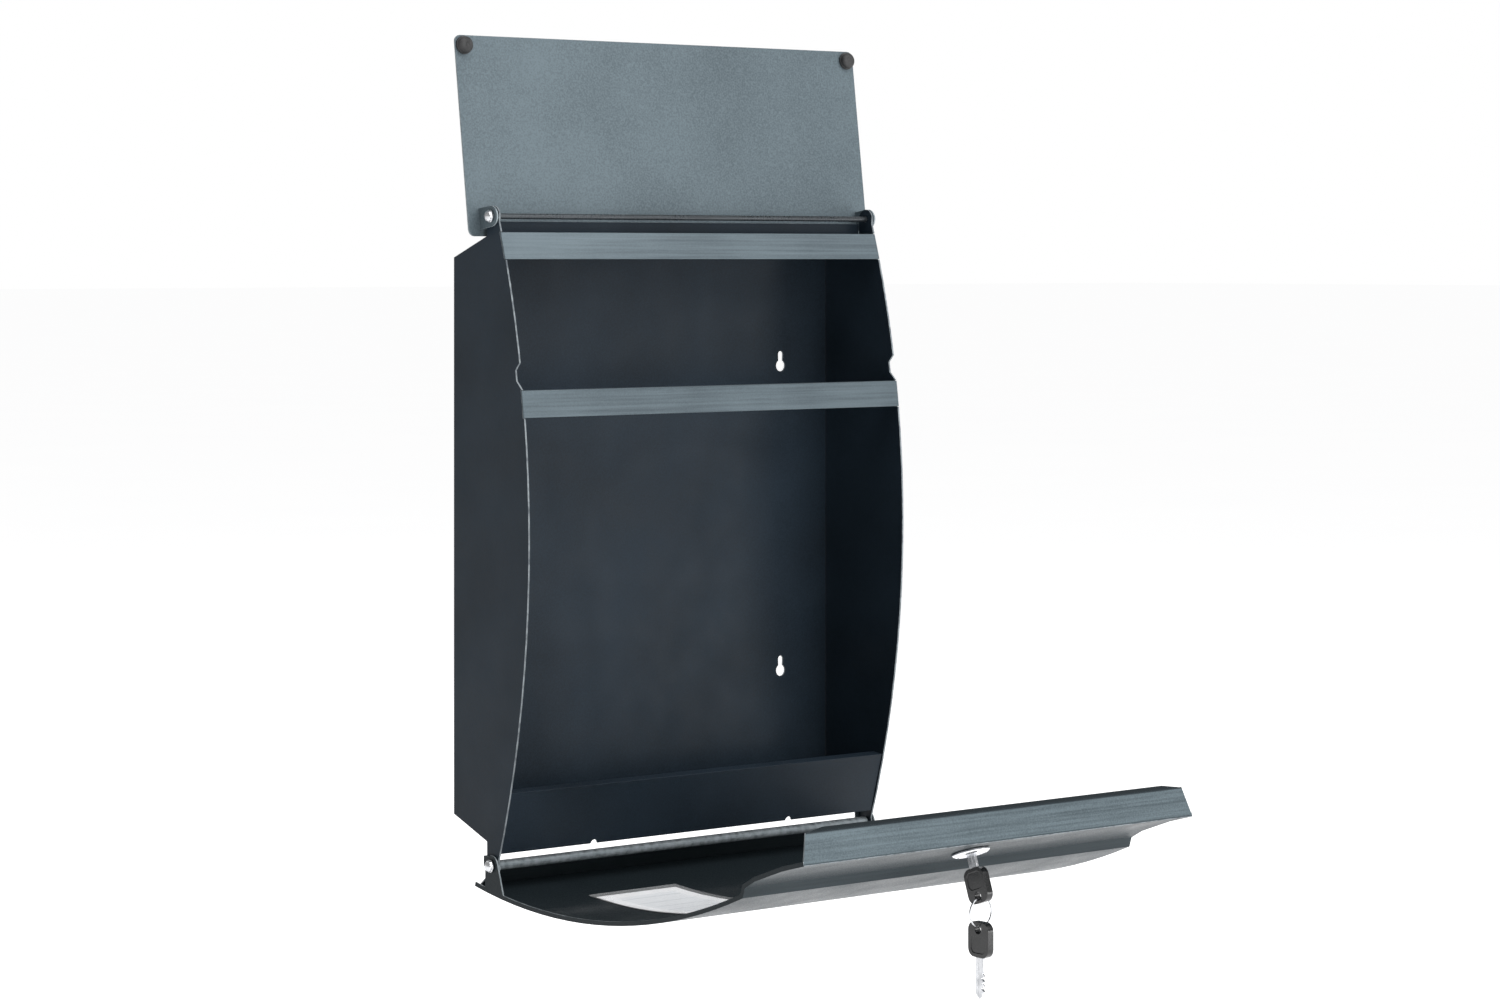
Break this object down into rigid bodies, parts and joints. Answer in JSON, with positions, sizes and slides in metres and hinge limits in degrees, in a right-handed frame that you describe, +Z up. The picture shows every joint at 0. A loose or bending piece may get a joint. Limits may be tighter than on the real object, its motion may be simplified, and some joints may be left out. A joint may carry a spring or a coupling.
{
  "type": "wall mounted mailbox",
  "caption": "Wall mounted sheet-steel mailbox with a bowed front, a swing-up lid over the letter slot and a drop-down door with a cam lock and keys.",
  "frame": {"origin": "centre of the back panel's outer face, on the wall plane", "axes": "+X to the mailbox's right as a person facing it sees it, +Y into the wall, +Z up; the front faces -Y"},
  "size_m": [0.32, 0.3361, 0.5638],
  "materials": {
    "body_coat": "fine-textured dark grey powder coat",
    "bar_coat": "fine-textured grey powder coat",
    "lid_coat": "fine-textured grey powder coat",
    "door_coat": "fine-textured dark grey powder coat",
    "rod_coat": "satin dark coated steel rod",
    "zinc_steel": "zinc plated, slightly brushed",
    "lock_chrome": "bright chrome plate",
    "black_rubber": "matt rubber",
    "key_plastic": "moulded black plastic",
    "card_paper": "white card",
    "clear_sleeve": "clear film"
  },
  "bodies": {
    "body": {"back_panel": "body_coat", "side_panel_left": "body_coat", "side_panel_right": "body_coat", "roof_panel": "body_coat", "floor_panel": "body_coat", "upper_bar": "bar_coat", "middle_bar": "bar_coat", "apron": "body_coat", "lid_rod": "rod_coat", "lid_rod_cap_left": "zinc_steel", "lid_rod_cap_right": "zinc_steel", "door_rod": "rod_coat", "door_rod_cap_left": "zinc_steel", "door_rod_cap_right": "zinc_steel"},
    "lid": {"lid_panel": "lid_coat", "lid_bumper_left": "black_rubber", "lid_bumper_right": "black_rubber"},
    "door": {"door_panel": "door_coat", "name_card": "card_paper", "card_sleeve": "clear_sleeve", "lock_barrel": "lock_chrome", "lock_nut": "zinc_steel"},
    "lock_core": {"lock_plug": "lock_chrome", "lock_cam": "zinc_steel", "cam_screw": "zinc_steel", "key_blade": "zinc_steel", "key_head": "key_plastic"},
    "ring": {"key_ring": "zinc_steel"},
    "spare_key": {"spare_key_blade": "zinc_steel", "spare_key_head": "key_plastic"}
  },
  "joints": [
    {"name": "lid_hinge", "type": "hinge", "parent": "body", "child": "lid", "pos_m": [0, -0.0415, 0.196], "axis": [1, 0, 0], "range_deg": [0, 170]},
    {"name": "door_hinge", "type": "hinge", "parent": "body", "child": "door", "pos_m": [0, -0.0415, -0.198], "axis": [1, 0, 0], "range_deg": [-76, 0]},
    {"name": "lock_turn", "type": "hinge", "parent": "door", "child": "lock_core", "pos_m": [0, -0.30545, -0.17202], "axis": [0, -0.3369, -0.9415], "range_deg": [0, 90]},
    {"name": "ring_swing", "type": "hinge", "parent": "lock_core", "child": "ring", "pos_m": [0, -0.31438, -0.19697], "axis": [1, 0, 0], "range_deg": [-25, 25]},
    {"name": "spare_key_swing", "type": "hinge", "parent": "ring", "child": "spare_key", "pos_m": [0, -0.31438, -0.21634], "axis": [1, 0, 0], "range_deg": [-25, 25]}
  ]
}
